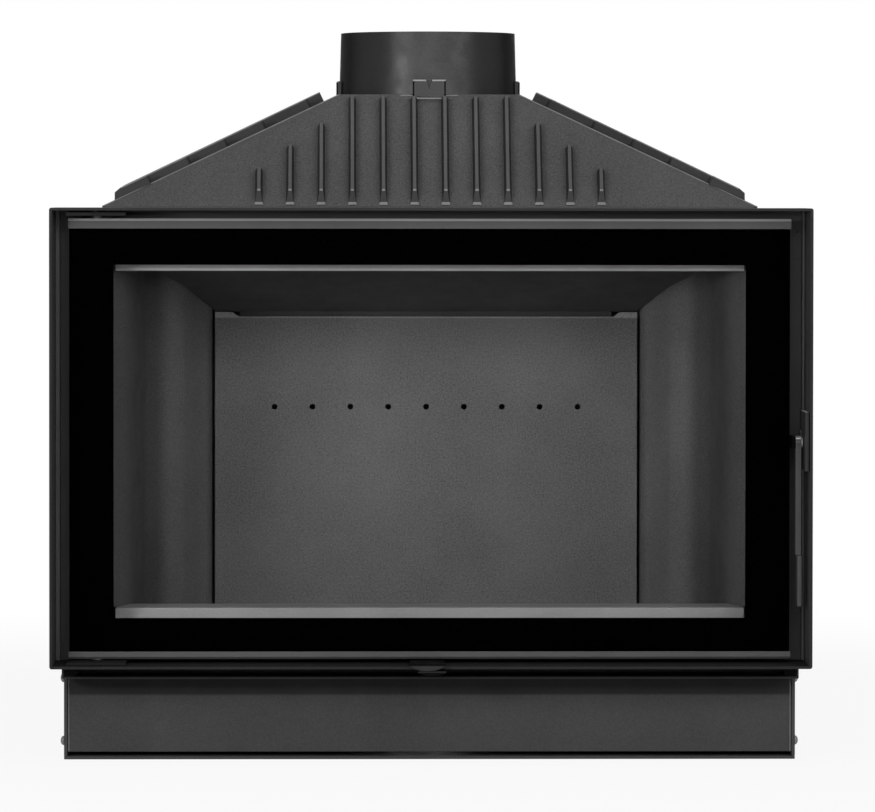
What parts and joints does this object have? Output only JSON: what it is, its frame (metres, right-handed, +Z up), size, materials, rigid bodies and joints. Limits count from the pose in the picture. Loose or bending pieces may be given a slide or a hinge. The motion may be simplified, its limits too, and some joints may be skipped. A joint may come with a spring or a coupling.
{
  "type": "fireplace insert",
  "caption": "Wide fireplace insert with a deep steel surround, side-hinged glass door, side lever handle, sliding air controls, a ribbed cast hood with a round flue collar and a low base.",
  "frame": {"origin": "on the floor, under the middle of the base's footprint", "axes": "+X to the right as seen from the front, +Y towards the back, +Z up; the door faces -Y"},
  "size_m": [0.84, 0.46, 0.8152],
  "materials": {
    "base_steel": "matt heat-resistant paint, dark grey",
    "bolt_steel": "plain steel, slightly dulled",
    "frame_steel": "matt heat-resistant paint, near black",
    "cast_iron": "as cast, grey-black matt coating",
    "lining_iron": "as cast, mid grey, fine grain",
    "strip_steel": "satin grey paint",
    "glass": "clear glass ceramic, polished",
    "enamel": "black, smooth",
    "rope": "woven glass fibre, dark grey",
    "handle_steel": "satin, dark grey"
  },
  "bodies": {
    "insert": {"base_floor": "base_steel", "base_left_side": "base_steel", "base_right_side": "base_steel", "base_front_panel": "base_steel", "base_back_panel": "base_steel", "base_bolt_left_front_lower": "bolt_steel", "base_bolt_left_front_upper": "bolt_steel", "base_bolt_left_back_lower": "bolt_steel", "base_bolt_left_back_upper": "bolt_steel", "base_bolt_right_front_lower": "bolt_steel", "base_bolt_right_front_upper": "bolt_steel", "base_bolt_right_back_lower": "bolt_steel", "base_bolt_right_back_upper": "bolt_steel", "deck_plate": "frame_steel", "surround": "frame_steel", "front_plate": "frame_steel", "left_wall": "cast_iron", "right_wall": "cast_iron", "back_wall": "cast_iron", "firebox_floor": "cast_iron", "hood": "cast_iron", "flue_collar": "cast_iron", "hearth_plate": "lining_iron", "ash_pan": "base_steel", "sill": "strip_steel", "lintel": "strip_steel", "left_lining": "lining_iron", "right_lining": "lining_iron", "back_lining": "lining_iron", "baffle": "lining_iron", "hinge_plate_upper": "frame_steel", "hinge_plate_lower": "frame_steel", "hinge_bush_upper": "bolt_steel", "hinge_bush_lower": "bolt_steel", "hinge_pin_upper": "bolt_steel", "hinge_pin_lower": "bolt_steel", "handle_keeper": "frame_steel"},
    "grate": {"grate": "lining_iron"},
    "door": {"door_head_strip": "strip_steel", "door_foot_strip": "strip_steel", "door_glass": "glass", "door_glass_border": "enamel", "door_frame": "frame_steel", "glass_seal": "rope", "door_seal": "rope", "handle_bracket": "enamel"},
    "handle": {"handle_spindle": "handle_steel", "handle_lever": "handle_steel", "handle_grip": "handle_steel"},
    "upper_air": {"upper_air_lever": "frame_steel", "upper_air_shutter": "bolt_steel"},
    "lower_air": {"lower_air_lever": "frame_steel", "lower_air_shutter": "bolt_steel"}
  },
  "joints": [
    {"name": "door_swing", "type": "hinge", "parent": "insert", "child": "door", "pos_m": [-0.3692, -0.214, 0.36], "axis": [0, 0, -1], "range_deg": [0, 105]},
    {"name": "handle_turn", "type": "hinge", "parent": "door", "child": "handle", "pos_m": [0.4064, -0.229, 0.357], "axis": [-1, 0, 0], "range_deg": [0, 70]},
    {"name": "grate_lift", "type": "slide", "parent": "insert", "child": "grate", "axis": [0, 0, 1], "range_m": [0, 0.1]},
    {"name": "upper_air_slide", "type": "slide", "parent": "insert", "child": "upper_air", "axis": [1, 0, 0], "range_m": [-0.022, 0.022]},
    {"name": "lower_air_slide", "type": "slide", "parent": "insert", "child": "lower_air", "axis": [1, 0, 0], "range_m": [-0.022, 0.022]}
  ]
}
